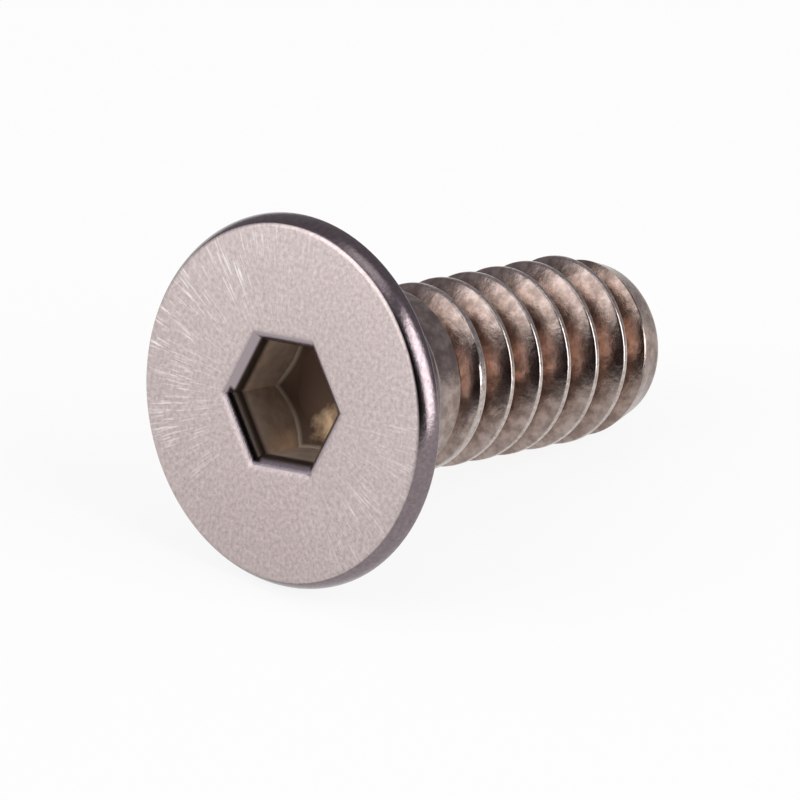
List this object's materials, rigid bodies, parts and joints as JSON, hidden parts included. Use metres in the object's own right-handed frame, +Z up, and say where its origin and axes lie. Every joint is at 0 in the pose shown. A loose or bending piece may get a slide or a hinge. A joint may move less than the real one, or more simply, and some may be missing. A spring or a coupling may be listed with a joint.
{
  "type": "flat head socket cap screw",
  "caption": "Countersunk machine screw with a flat face, a hex socket and a coarse thread up to the head's cone, lying on its side",
  "frame": {"origin": "on the surface the screw lies on, under the middle of its bounding box", "axes": "+X runs along the screw from the head to the tip, seen from above; +Z is up; the screw's axis dips 13 degrees towards the tip"},
  "size_m": [0.013, 0.0092, 0.009],
  "materials": {
    "stainless": "satin, scratched on the face"
  },
  "bodies": {
    "root": {"screw": "stainless"}
  },
  "joints": []
}
